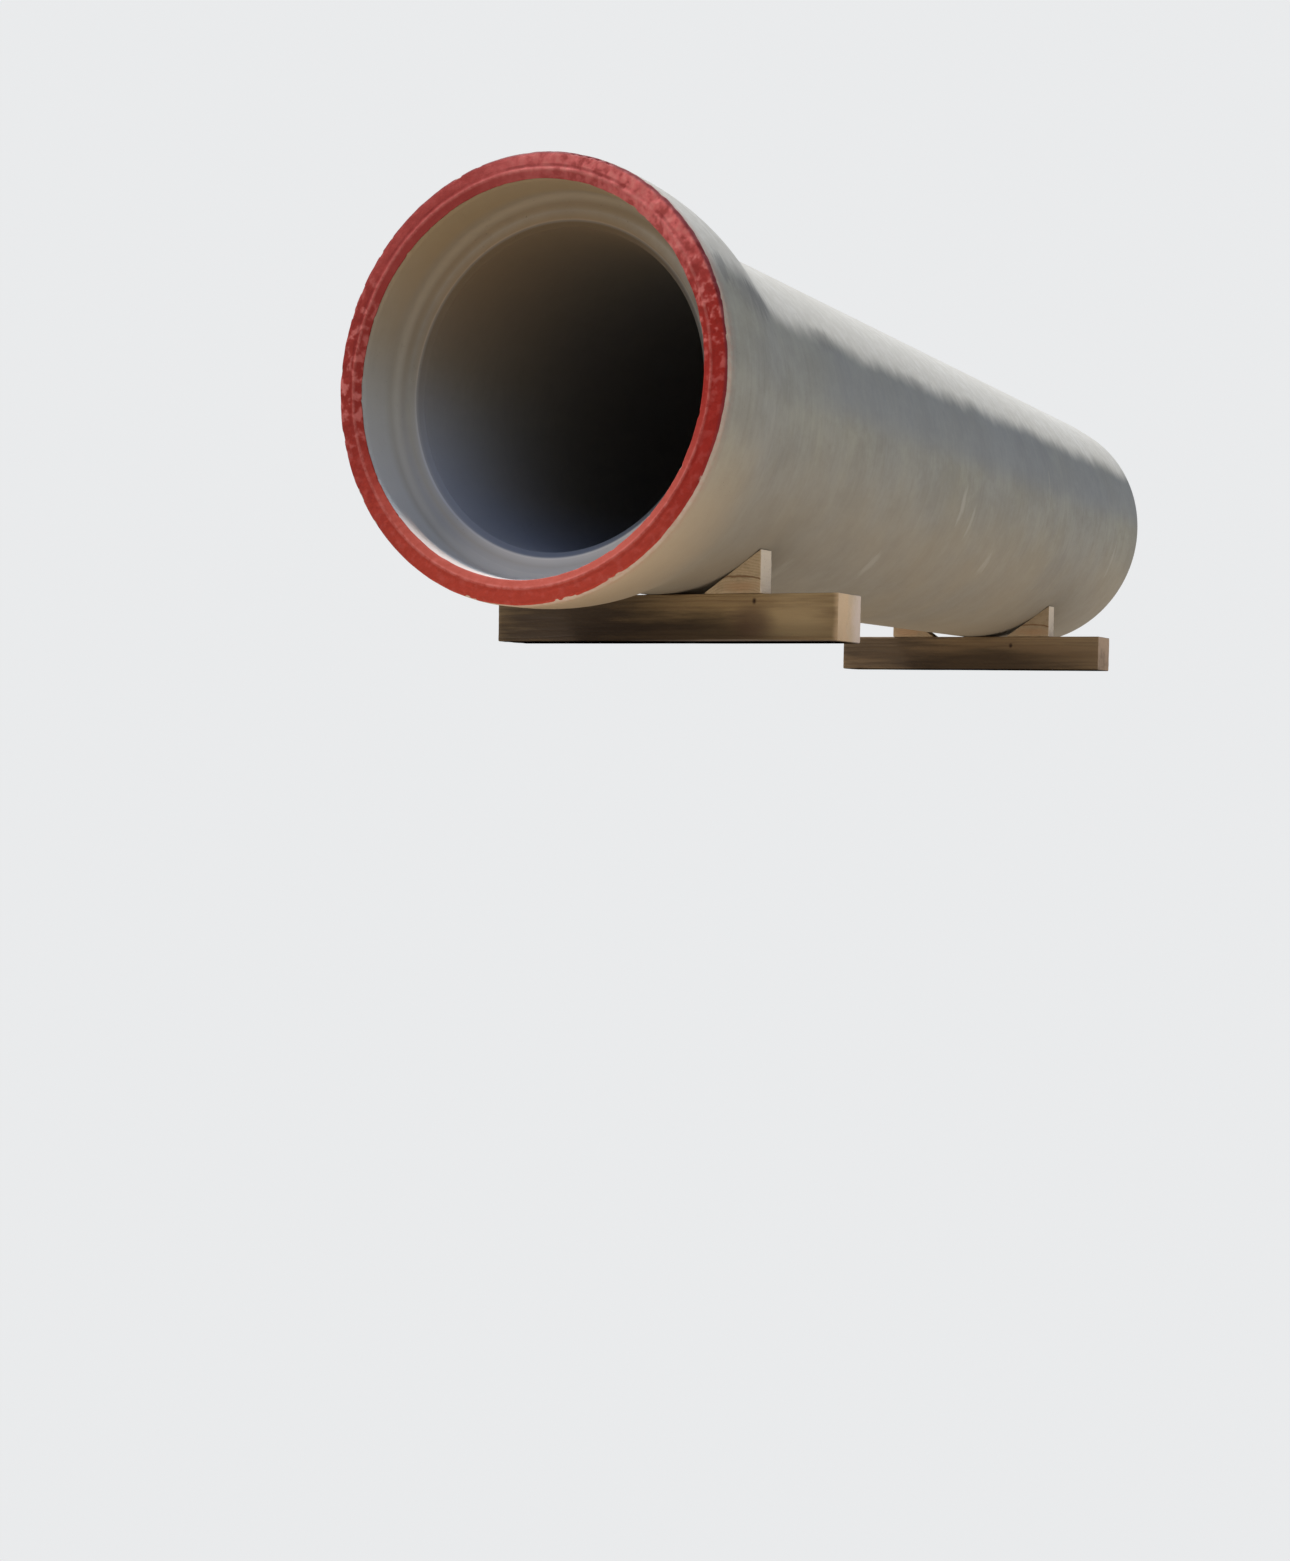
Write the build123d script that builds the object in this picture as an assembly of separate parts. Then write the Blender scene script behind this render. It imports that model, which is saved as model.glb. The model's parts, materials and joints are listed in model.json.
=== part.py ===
from build123d import *
import math
import os

# A bell-and-spigot concrete culvert pipe, lying on two sawn bearers, each with a pair of wedge chocks.
# Millimetres. The pipe's axis runs along Y with its bell at -Y, and the bearers stand on Z = 0.

# Pipe
pipe_length = 5160.0
bore_radius = 500.0
barrel_wall = 90.0

# Spigot, which enters the next pipe's bell
spigot_step = 5.0
spigot_length = 190.0
spigot_run_out = 12.0
spigot_end_chamfer = 8.0
bore_end_chamfer = 6.0

# Bell and its socket
joint_gap = 13.0
bell_wall = 83.0
socket_depth = 196.0
seat_bevel = 20.0
lip_bevel_width = 27.0
lip_bevel_depth = 9.0
lip_outer_radius = 14.0
bell_straight = 120.0
shoulder_length = 700.0

# Bearers
bearer_length = 1300.0
bearer_width = 200.0
bearer_height = 160.0
front_bearer_from_mouth = 885.0
rear_bearer_from_spigot = 720.0
front_bearer_shift = 26.0
rear_bearer_shift = -10.0

# Chocks
chock_length = 207.0
chock_height = 148.0
chock_thickness = 88.0

# Gap between the barrel and the timber that carries it
seat_clearance = 0.3

# Worked out from the sizes above
barrel_radius = bore_radius + barrel_wall
spigot_radius = barrel_radius - spigot_step
socket_radius = spigot_radius + joint_gap
bell_radius = socket_radius + bell_wall
mouth_y = -pipe_length / 2
spigot_y = pipe_length / 2
seat_radius = barrel_radius + seat_clearance
axis_height = bearer_height + seat_radius
front_bearer_y = mouth_y + front_bearer_from_mouth
rear_bearer_y = spigot_y - rear_bearer_from_spigot - bearer_width
chock_slope = math.atan2(chock_height, chock_length)


def pipe_outside():
    """The outer profile from the mouth to the spigot's end, as edges in (radius, distance from the mouth)."""
    # The shoulder is two arcs of one radius, which meet halfway between the bell and the barrel
    shoulder_turn = 2 * math.atan2(bell_radius - barrel_radius, shoulder_length)
    shoulder_radius = shoulder_length / (2 * math.sin(shoulder_turn))

    lip_start = (bell_radius - lip_outer_radius, 0)
    lip_end = (bell_radius, lip_outer_radius)
    lip_bend = lip_outer_radius * math.sin(math.pi / 4)
    lip_middle = (bell_radius - lip_outer_radius + lip_bend, lip_outer_radius - lip_bend)

    def crown(turn):
        return (
            bell_radius - shoulder_radius * (1 - math.cos(turn)),
            bell_straight + shoulder_radius * math.sin(turn),
        )

    def foot(turn):
        return (
            barrel_radius + shoulder_radius * (1 - math.cos(turn)),
            bell_straight + shoulder_length - shoulder_radius * math.sin(turn),
        )

    spigot_start = pipe_length - spigot_length
    corners = [
        foot(0),
        (barrel_radius, spigot_start - spigot_run_out),
        (spigot_radius, spigot_start),
        (spigot_radius, pipe_length - spigot_end_chamfer),
        (spigot_radius - spigot_end_chamfer, pipe_length),
    ]
    return [
        ThreePointArc(lip_start, lip_middle, lip_end),
        Line(lip_end, crown(0)),
        ThreePointArc(crown(0), crown(shoulder_turn / 2), crown(shoulder_turn)),
        ThreePointArc(foot(shoulder_turn), foot(shoulder_turn / 2), foot(0)),
        Polyline(*corners),
    ]


def pipe_inside():
    """The inner profile from the spigot's end back to the mouth: bore, bevel, seat, socket and lip."""
    corners = [
        (spigot_radius - spigot_end_chamfer, pipe_length),
        (bore_radius + bore_end_chamfer, pipe_length),
        (bore_radius, pipe_length - bore_end_chamfer),
        (bore_radius, socket_depth + seat_bevel),
        (bore_radius + seat_bevel, socket_depth),
        (socket_radius, socket_depth),
        (socket_radius, lip_bevel_depth),
        (socket_radius + lip_bevel_width, 0),
        (bell_radius - lip_outer_radius, 0),
    ]
    return [Polyline(*corners)]


def make_pipe():
    """One casting: the profile turned about the pipe's axis."""
    half_section = make_face(pipe_outside() + pipe_inside())
    turned = revolve(half_section, Axis.Y)
    return Pos(0, mouth_y, axis_height) * turned


def make_bearer(front_y, shift):
    """A square-sawn timber that lies across the pipe, under its barrel."""
    timber = Box(bearer_length, bearer_width, bearer_height, align=(Align.CENTER, Align.MIN, Align.MIN))
    return Pos(shift, front_y, 0) * timber


def make_chock(front_y, side):
    """A wedge on a bearer, flush with its front face, whose slope meets the barrel. Side is 1 or -1 along X."""
    tip = seat_radius * math.tan(chock_slope / 2)
    back = tip + chock_length
    top = bearer_height + chock_height
    corners = [
        (side * tip, 0, bearer_height),
        (side * back, 0, bearer_height),
        (side * back, 0, top),
    ]
    wedge = make_face(Polyline(*corners, close=True))
    return Pos(0, front_y, 0) * extrude(wedge, chock_thickness, dir=(0, 1, 0))


nodes = {
    "pipe": make_pipe(),
    "front_bearer": make_bearer(front_bearer_y, front_bearer_shift),
    "rear_bearer": make_bearer(rear_bearer_y, rear_bearer_shift),
    "front_right_chock": make_chock(front_bearer_y, 1),
    "front_left_chock": make_chock(front_bearer_y, -1),
    "rear_right_chock": make_chock(rear_bearer_y, 1),
    "rear_left_chock": make_chock(rear_bearer_y, -1),
}

os.makedirs("parts", exist_ok=True)
for name, shape in nodes.items():
    export_step(shape, f"parts/{name}.step")
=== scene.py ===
"""Looks of a concrete culvert pipe lying on sawn timbers. Metres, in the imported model's own frame."""

import json
import math

import bpy
import numpy as np
from mathutils import Matrix, Vector


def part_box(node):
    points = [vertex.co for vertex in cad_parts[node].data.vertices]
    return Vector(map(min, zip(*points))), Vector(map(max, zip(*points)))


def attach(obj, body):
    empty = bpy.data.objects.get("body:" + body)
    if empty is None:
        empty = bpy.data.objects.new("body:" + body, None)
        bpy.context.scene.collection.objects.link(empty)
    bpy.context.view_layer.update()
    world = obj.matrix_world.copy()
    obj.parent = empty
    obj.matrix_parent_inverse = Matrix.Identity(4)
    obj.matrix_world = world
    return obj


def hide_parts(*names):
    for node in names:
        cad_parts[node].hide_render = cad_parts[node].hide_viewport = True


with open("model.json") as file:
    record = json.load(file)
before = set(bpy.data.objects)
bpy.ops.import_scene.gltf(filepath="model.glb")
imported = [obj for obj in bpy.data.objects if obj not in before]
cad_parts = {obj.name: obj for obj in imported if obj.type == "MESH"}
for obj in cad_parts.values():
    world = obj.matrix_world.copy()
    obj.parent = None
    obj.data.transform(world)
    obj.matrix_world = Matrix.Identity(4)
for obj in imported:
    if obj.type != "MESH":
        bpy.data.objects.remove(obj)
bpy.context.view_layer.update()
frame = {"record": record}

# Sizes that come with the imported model
mount_size = {mount["name"]: mount["dims"] for mount in frame["record"]["mounts"]}
pipe_low, pipe_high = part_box("pipe")
BELL_RADIUS = (pipe_high.x - pipe_low.x) / 2
SOCKET_RADIUS = mount_size["socket"]["r_mm"] / 1000
BORE_RADIUS = mount_size["bore"]["r_mm"] / 1000
SPIGOT_RADIUS = mount_size["spigot"]["r_mm"] / 1000
MOUTH_Y = pipe_low.y
LENGTH = pipe_high.y - pipe_low.y
AXIS_HEIGHT = (pipe_low.z + pipe_high.z) / 2

# Sizes of the pipe's section that no box or mount gives
BARREL_RADIUS = 0.590
SPIGOT_LENGTH = 0.190
SPIGOT_RUN_OUT = 0.012
SPIGOT_END_CHAMFER = 0.008
BORE_END_CHAMFER = 0.006
SOCKET_DEPTH = 0.196
SEAT_BEVEL = 0.020
LIP_BEVEL_WIDTH = 0.027
LIP_BEVEL_DEPTH = 0.009
LIP_OUTER_RADIUS = 0.014
BELL_STRAIGHT = 0.120
SHOULDER_LENGTH = 0.700

# How many vertices go round the pipe at its painted mouth
FINE_COUNT = 880

# Between the growth rings of the timber
RING_SPACING = 0.0095


# Noise for the meshes

def cell_values(cells, seed):
    """A repeatable value from -1 to 1 for each whole-number cell."""
    mixed = (cells[..., 0] * 73856093) ^ (cells[..., 1] * 19349663) ^ (cells[..., 2] * 83492791)
    mixed = (mixed ^ (seed * 265443576)) & 0xFFFFFFFF
    mixed = ((mixed ^ (mixed >> 13)) * 1274126177) & 0xFFFFFFFF
    return ((mixed ^ (mixed >> 16)) & 0xFFFF) / 32767.5 - 1


def lumps(points, size, seed, octaves=1):
    """Smooth noise, about -1 to 1, with lumps of that size. Size is one number or one along each axis."""
    total = np.zeros(len(points))
    for octave in range(octaves):
        scaled = points / np.asarray(size) * 2**octave
        base = np.floor(scaled).astype(np.int64)
        part = scaled - base
        part = part * part * (3 - 2 * part)
        for corner in np.ndindex(2, 2, 2):
            share = np.prod(np.where(corner, part, 1 - part), axis=1)
            total += share * cell_values(base + corner, seed + octave) / 2**octave
    return total


def dents(points, size, seed, octaves=1):
    """The same noise as a depth, about 0 to 1 and never negative."""
    return np.clip(0.5 + 0.5 * lumps(points, size, seed, octaves), 0, None)


def ease(value, start, end):
    """0 at start, 1 at end, smooth between them."""
    t = np.clip((value - start) / (end - start), 0, 1)
    return t * t * (3 - 2 * t)


def bell_curve(value, middle, width):
    return np.exp(-(((value - middle) / width) ** 2))


def mesh_piece(name, points, faces, material, node):
    """A smooth-shaded piece that stands for a CAD node."""
    mesh = bpy.data.meshes.new(name)
    mesh.from_pydata(points.tolist(), [], faces)
    mesh.validate()
    mesh.shade_smooth()
    mesh.materials.append(material)
    piece = bpy.data.objects.new(name, mesh)
    bpy.context.scene.collection.objects.link(piece)
    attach(piece, "root")
    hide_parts(node)
    return piece


# The pipe's section, as (radius, distance from the mouth)

def shoulder_points(steps):
    """The bell's crown arc and the foot arc that meets the barrel, both of one radius."""
    turn = 2 * math.atan2(BELL_RADIUS - BARREL_RADIUS, SHOULDER_LENGTH)
    arc_radius = SHOULDER_LENGTH / (2 * math.sin(turn))
    crown = []
    foot = []
    for step in range(steps + 1):
        drop = arc_radius * (1 - math.cos(turn * step / steps))
        run = arc_radius * math.sin(turn * step / steps)
        crown.append((BELL_RADIUS - drop, BELL_STRAIGHT + run))
        foot.append((BARREL_RADIUS + drop, BELL_STRAIGHT + SHOULDER_LENGTH - run))
    return crown[:-1] + foot[::-1]


def round_corner(before, corner, after, reach, steps=5):
    """Points of a short curve that takes the place of a sharp corner."""
    before, corner, after = (np.array(p[:2], float) for p in (before, corner, after))
    start = corner + (before - corner) / np.linalg.norm(before - corner) * reach
    end = corner + (after - corner) / np.linalg.norm(after - corner) * reach
    shares = np.linspace(0, 1, steps + 1)[:, None]
    curve = (1 - shares) ** 2 * start + 2 * shares * (1 - shares) * corner + shares**2 * end
    return [tuple(p) for p in curve]


def row_spacing(distance):
    """The widest step between rows of vertices at a distance from the mouth."""
    for limit, step in ((0.036, 0.004), (0.060, 0.009), (0.210, 0.022), (0.850, 0.032)):
        if distance < limit:
            return step
    if distance > LENGTH - SPIGOT_LENGTH - 0.03:
        return 0.030
    return 0.075


def row_count(distance):
    """How many vertices go round the pipe at a distance from the mouth."""
    if distance < 0.034:
        return FINE_COUNT
    if distance < 0.055:
        return FINE_COUNT // 2
    return FINE_COUNT // 4


def pipe_section():
    """The closed section from the mouth's bevel out, along the outside, and back through the bore."""
    spigot_start = LENGTH - SPIGOT_LENGTH
    # Radius, distance and how far the corner is rounded off
    corners = [
        (SOCKET_RADIUS, LIP_BEVEL_DEPTH, 0.005),
        (SOCKET_RADIUS + LIP_BEVEL_WIDTH, 0, 0.006),
        (BELL_RADIUS, 0, LIP_OUTER_RADIUS),
    ]
    corners += [(r, d, 0) for r, d in shoulder_points(8)]
    corners += [
        (BARREL_RADIUS, spigot_start - SPIGOT_RUN_OUT, 0.004),
        (SPIGOT_RADIUS, spigot_start, 0.004),
        (SPIGOT_RADIUS, LENGTH - SPIGOT_END_CHAMFER, 0.003),
        (SPIGOT_RADIUS - SPIGOT_END_CHAMFER, LENGTH, 0.003),
        (BORE_RADIUS + BORE_END_CHAMFER, LENGTH, 0.002),
        (BORE_RADIUS, LENGTH - BORE_END_CHAMFER, 0.002),
        (BORE_RADIUS, SOCKET_DEPTH + SEAT_BEVEL, 0.006),
        (BORE_RADIUS + SEAT_BEVEL, SOCKET_DEPTH, 0.006),
        (SOCKET_RADIUS, SOCKET_DEPTH, 0.028),
    ]
    curve = []
    for i, corner in enumerate(corners):
        if corner[2] == 0:
            curve.append(corner[:2])
        else:
            curve += round_corner(corners[i - 1], corner, corners[(i + 1) % len(corners)], corner[2])
    section = []
    for i, start in enumerate(curve):
        end = curve[(i + 1) % len(curve)]
        start, end = np.array(start), np.array(end)
        done = 0.0
        length = np.linalg.norm(end - start)
        while done < length - 1e-9:
            here = start + (end - start) * done / length
            section.append(here)
            left = length - done
            step = row_spacing(here[1])
            done += left / math.ceil(left / step - 1e-9)
    return np.array(section)


def section_normals(section):
    """The outward direction of the section at each of its points."""
    along = np.roll(section, -1, axis=0) - np.roll(section, 1, axis=0)
    along /= np.linalg.norm(along, axis=1)[:, None]
    return np.stack([along[:, 1], -along[:, 0]], axis=1)


def pipe_mesh():
    """One closed skin: rows round the axis, with more vertices in the rows near the painted mouth."""
    section = pipe_section()
    normals = section_normals(section)
    counts = [row_count(d) for d in section[:, 1]]
    starts = np.concatenate([[0], np.cumsum(counts)])
    angle = np.concatenate([np.arange(n) * 2 * math.pi / n for n in counts])
    radius = np.concatenate([np.full(n, r) for n, r in zip(counts, section[:, 0])])
    distance = np.concatenate([np.full(n, d) for n, d in zip(counts, section[:, 1])])
    out_r = np.concatenate([np.full(n, v) for n, v in zip(counts, normals[:, 0])])
    out_d = np.concatenate([np.full(n, v) for n, v in zip(counts, normals[:, 1])])

    sink = surface_sink(angle, radius, distance, out_r)
    radius = radius - out_r * sink
    distance = distance - out_d * sink
    points = np.stack(
        [radius * np.cos(angle), MOUTH_Y + distance, AXIS_HEIGHT + radius * np.sin(angle)], axis=1
    )

    faces = []
    rows = len(counts)
    for row in range(rows):
        other = (row + 1) % rows
        here, there = starts[row], starts[other]
        n, m = counts[row], counts[other]
        if n == m:
            for i in range(n):
                j = (i + 1) % n
                faces.append((here + i, here + j, there + j, there + i))
        else:
            fine, coarse = (here, there) if n > m else (there, here)
            fine_count = max(n, m)
            coarse_count = min(n, m)
            for i in range(coarse_count):
                j = (i + 1) % coarse_count
                a, b, c = fine + 2 * i, fine + 2 * i + 1, fine + (2 * i + 2) % fine_count
                fan = [(a, b, coarse + i), (b, coarse + j, coarse + i), (b, c, coarse + j)]
                faces += fan if n > m else [t[::-1] for t in fan]
    return points, [tuple(int(v) for v in face[::-1]) for face in faces]


def surface_sink(angle, radius, distance, out_r):
    """How far each point lies under the ideal surface: wobble of the cast, chipped arrises, lumpy paint."""
    around = np.stack([radius * np.cos(angle), distance, radius * np.sin(angle)], axis=1)
    outside = out_r > 0.3

    # The form leaves long shallow waves and faint rings
    cast = 0.0006 * dents(around, (0.45, 0.9, 0.45), 3, 2) + 0.0005 * dents(around, (2.5, 0.045, 2.5), 11, 2)

    # Paint is brushed thick on the face and the bevel, and lumpy towards the upper right
    degrees = np.degrees(angle)
    painted = 1 - ease(distance, 0.014, 0.034)
    rough_side = 0.40 + 1.25 * bell_curve(degrees, 48, 32) + 0.45 * bell_curve(degrees, 172, 16)
    blobs = lumps(around, (0.030, 0.020, 0.030), 21, 2)
    dabs = np.clip(lumps(around, (0.055, 0.03, 0.055), 31, 2), 0, 1)
    paint = 0.0022 + rough_side * (0.0016 * blobs - 0.0012 * dabs)

    # A bead runs along the edge between the bevel and the face, with a shallow trough outside it
    bead_radius = SOCKET_RADIUS + LIP_BEVEL_WIDTH + 0.001
    bead = bell_curve(radius, bead_radius, 0.0035) * (0.55 + 0.45 * lumps(around, 0.05, 41, 2))
    trough = bell_curve(radius, bead_radius + 0.012, 0.007) * (0.6 + 0.4 * lumps(around, 0.08, 43, 2))
    on_face = 1 - ease(distance, 0.002, 0.006)
    paint = paint + on_face * (0.0014 * trough - 0.0018 * bead)

    # Small chips along the outer arris and nicks in the bevel
    outer_arris = bell_curve(radius - distance, BELL_RADIUS - 0.008, 0.008) * (distance < 0.03) * outside
    inner_arris = bell_curve(radius - distance, SOCKET_RADIUS - LIP_BEVEL_DEPTH, 0.006) * (distance < 0.02)
    chips = ease(lumps(around, 0.035, 51, 3), 0.42, 0.95) * outer_arris * 0.0050
    nicks = ease(lumps(around, 0.028, 57, 2), 0.45, 0.85) * inner_arris * 0.0040
    return cast + painted * np.clip(paint, 0, None) + chips + nicks


# Timber

def prism_mesh(outline, stations, cap_rings):
    """A closed bar: the outline (n x 2) repeated at each station (axis, inset), and each end filled by
    rings that shrink to the middle. Gives points as (u, v, along) and the faces."""
    middle = outline.mean(axis=0)
    n = len(outline)
    rings = []
    shrink = np.linspace(1, 0, cap_rings + 1)[1:-1]
    spread = np.abs(outline - middle).max(axis=1).mean()

    def ring(along, inset, share=1.0):
        scale = (1 - inset / spread) * share
        flat = middle + (outline - middle) * scale
        return np.column_stack([flat, np.full(n, along)])

    first_along, first_inset = stations[0]
    last_along, last_inset = stations[-1]
    rings += [ring(first_along, first_inset, s) for s in shrink[::-1]]
    rings += [ring(along, inset) for along, inset in stations]
    rings += [ring(last_along, last_inset, s) for s in shrink]
    points = np.concatenate(rings + [[[*middle, first_along], [*middle, last_along]]])
    faces = []
    for k in range(len(rings) - 1):
        for i in range(n):
            j = (i + 1) % n
            faces.append((k * n + i, k * n + j, (k + 1) * n + j, (k + 1) * n + i))
    total = len(rings) * n
    for i in range(n):
        j = (i + 1) % n
        faces.append((total, j, i))
        faces.append((total + 1, (len(rings) - 1) * n + i, (len(rings) - 1) * n + j))
    return points, faces


def rounded_outline(corners, reaches, step):
    """Points round a polygon, with each corner rounded off by its reach and long sides divided."""
    curve = []
    for i, corner in enumerate(corners):
        after = corners[(i + 1) % len(corners)]
        curve += round_corner(corners[i - 1], corner, after, reaches[i], 4)
    outline = []
    for i, start in enumerate(curve):
        start, end = np.array(start), np.array(curve[(i + 1) % len(curve)])
        pieces = max(1, math.ceil(np.linalg.norm(end - start) / step))
        outline += [start + (end - start) * k / pieces for k in range(pieces)]
    return np.array(outline)


def bar_stations(low, high, step, rounding):
    """Places along a bar, each with how far its sides draw in there, close together at the rounded ends."""
    turns = np.linspace(0, math.pi / 2, 4)
    near = [(rounding * (1 - math.cos(t)), rounding * (1 - math.sin(t))) for t in turns]
    middle_count = math.ceil((high - low - 2 * rounding) / step)
    middle = np.linspace(low + rounding, high - rounding, middle_count + 1)[1:-1]
    stations = [(low + along, inset) for along, inset in near]
    stations += [(along, 0.0) for along in middle]
    return stations + [(high - along, inset) for along, inset in near[::-1]]


def bearer_mesh(node, seed):
    """A sawn bearer: worn arrises, drying checks in its ends and a slightly wavy sawn skin."""
    low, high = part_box(node)
    corners = [(low.y, low.z), (high.y, low.z), (high.y, high.z), (low.y, high.z)]
    outline = rounded_outline(corners, [0.004, 0.007, 0.004, 0.005], 0.006)
    stations = bar_stations(low.x, high.x, 0.012, 0.004)
    section, faces = prism_mesh(outline, stations, 26)
    points = section[:, [2, 0, 1]]
    middle = (np.array(low) + np.array(high)) / 2
    half = (np.array(high) - np.array(low)) / 2
    away = points - middle

    # Sawn skin
    skin = 0.0009 * dents(points, (0.30, 0.03, 0.03), seed, 3)
    worn = 0.0022 * ease(lumps(points, (0.09, 0.05, 0.05), seed + 5, 2), 0.1, 0.9)
    near_side = ease(np.abs(away[:, 1]) / half[1], 0.93, 1.0)
    near_top = ease(np.abs(away[:, 2]) / half[2], 0.91, 1.0)
    inward = skin + worn * near_side * near_top
    points[:, 1] -= np.sign(away[:, 1]) * inward * ease(np.abs(away[:, 1]) / half[1], 0.6, 1.0)
    points[:, 2] -= np.sign(away[:, 2]) * inward * ease(np.abs(away[:, 2]) / half[2], 0.6, 1.0)

    # Rough ends with checks that run out from the heart
    end = ease(np.abs(away[:, 0]) / half[0], 0.985, 1.0)
    heart = np.array([low.y + 0.42 * (high.y - low.y), low.z + 0.45 * (high.z - low.z)])
    spoke = np.arctan2(points[:, 2] - heart[1], points[:, 1] - heart[0])
    out = np.hypot(points[:, 1] - heart[0], points[:, 2] - heart[1])
    sides = np.where(away[:, 0] > 0, 1.0, 2.0)
    rough = 0.0008 * dents(points + sides[:, None], (0.5, 0.012, 0.012), seed + 9, 2)
    checks = np.zeros(len(points))
    for turn, reach in ((0.5, 0.045), (3.9, 0.060)):
        gap = np.abs(np.sin((spoke - turn - 0.4 * sides) / 2)) * 2 * out
        facing = np.cos(spoke - turn - 0.4 * sides) > 0
        wander = 0.003 * lumps(points, 0.02, seed + 15)
        checks += facing * bell_curve(gap + wander, 0, 0.0022) * (1 - ease(out, reach * 0.4, reach))
    sink = end * (rough + 0.0025 * np.clip(checks, 0, 1))
    points[:, 0] -= np.sign(away[:, 0]) * sink
    return points, faces


def chock_mesh(node, side, seed):
    """A wedge sawn across the grain: blunt toe, worn edges and a rough sawn slope."""
    low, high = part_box(node)
    width = high.x - low.x
    toe = 0.004
    # Across from the toe, and height
    corners = [(0.0, 0.0), (width, 0.0), (width, high.z - low.z), (0.0, toe)]
    outline = rounded_outline(corners, [0.0015, 0.004, 0.004, 0.0015], 0.005)
    stations = bar_stations(low.y, high.y, 0.008, 0.003)
    section, faces = prism_mesh(outline, stations, 18)
    across, height, along = section[:, 0].copy(), section[:, 1].copy(), section[:, 2].copy()
    raw = np.column_stack([across, along, height])
    wave = dents(raw + side * 3.7, (0.02, 0.07, 0.02), seed, 3)
    slope_line = (high.z - low.z - toe) / width
    under_slope = toe + slope_line * across - height
    on_slope = bell_curve(under_slope, 0, 0.006)
    height -= on_slope * 0.0012 * wave
    on_back = ease(across / width, 0.96, 1.0)
    across -= on_back * 0.0016 * wave
    ends = ease(np.abs(along - (low.y + high.y) / 2) / ((high.y - low.y) / 2), 0.9, 1.0)
    along -= np.sign(along - (low.y + high.y) / 2) * ends * 0.0010 * wave
    start = low.x if side > 0 else high.x
    points = np.column_stack([start + side * across, along, low.z + np.clip(height, 0, None)])
    faces = [face[::-1] for face in faces] if side > 0 else faces
    return points, faces


# Materials

class Graph:
    """Adds nodes to one material or world, and hands back the sockets that feed the next ones."""

    def __init__(self, owner):
        owner.use_nodes = True
        self.tree = owner.node_tree
        self.tree.nodes.clear()

    def add(self, kind, inputs=None, **settings):
        node = self.tree.nodes.new(kind)
        for key, value in settings.items():
            setattr(node, key, value)
        for key, value in (inputs or {}).items():
            self.feed(node.inputs[key], value)
        return node

    def feed(self, socket, value):
        if isinstance(value, bpy.types.NodeSocket):
            self.tree.links.new(value, socket)
        elif isinstance(value, tuple) and len(value) == 3 and socket.type == "RGBA":
            socket.default_value = (*value, 1)
        else:
            socket.default_value = value

    def math(self, operation, a, b=0.0):
        return self.add("ShaderNodeMath", {0: a, 1: b}, operation=operation).outputs[0]

    def off(self, value, middle):
        """How far a value lies from its middle, never negative."""
        return self.math("ABSOLUTE", self.math("SUBTRACT", value, middle))

    def swing(self, noise, reach):
        """Noise from 0 to 1 as a swing about 0, with that reach from end to end."""
        return self.math("MULTIPLY", self.math("SUBTRACT", noise, 0.5), reach)

    def vector(self, operation, a, b=(0, 0, 0)):
        node = self.add("ShaderNodeVectorMath", {0: a, 1: b}, operation=operation)
        return node.outputs["Value" if operation in ("LENGTH", "DOT_PRODUCT") else "Vector"]

    def span(self, value, start, end, low=0.0, high=1.0):
        """Smoothly from low at start to high at end."""
        inputs = {0: value, 1: start, 2: end, 3: low, 4: high}
        node = self.add("ShaderNodeMapRange", inputs, interpolation_type="SMOOTHSTEP")
        return node.outputs[0]

    def blend(self, factor, a, b, mode="MIX"):
        node = self.add("ShaderNodeMix", data_type="RGBA", blend_type=mode)
        self.feed(node.inputs[0], factor)
        self.feed(node.inputs[6], a)
        self.feed(node.inputs[7], b)
        return node.outputs[2]

    def noise(self, place, scale, detail=3.0, roughness=0.55, distortion=0.0):
        """Noise from 0 to 1. Scale is features per metre, one number or one along each axis."""
        if isinstance(scale, tuple):
            place = self.vector("MULTIPLY", place, scale)
            scale = 1.0
        inputs = {"Vector": place, "Scale": scale, "Detail": detail, "Roughness": roughness}
        inputs["Distortion"] = distortion
        return self.add("ShaderNodeTexNoise", inputs).outputs[0]

    def cells(self, place, scale):
        return self.add("ShaderNodeTexVoronoi", {"Vector": place, "Scale": scale}).outputs["Distance"]

    def bump(self, height, depth):
        inputs = {"Height": height, "Distance": depth, "Strength": 1.0}
        return self.add("ShaderNodeBump", inputs).outputs[0]

    def surface(self, colour, roughness, normal, specular):
        shader = self.add("ShaderNodeBsdfPrincipled")
        self.feed(shader.inputs["Base Color"], colour)
        self.feed(shader.inputs["Roughness"], roughness)
        self.feed(shader.inputs["Normal"], normal)
        shader.inputs["Specular IOR Level"].default_value = specular
        self.add("ShaderNodeOutputMaterial", {"Surface": shader.outputs[0]})


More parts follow.
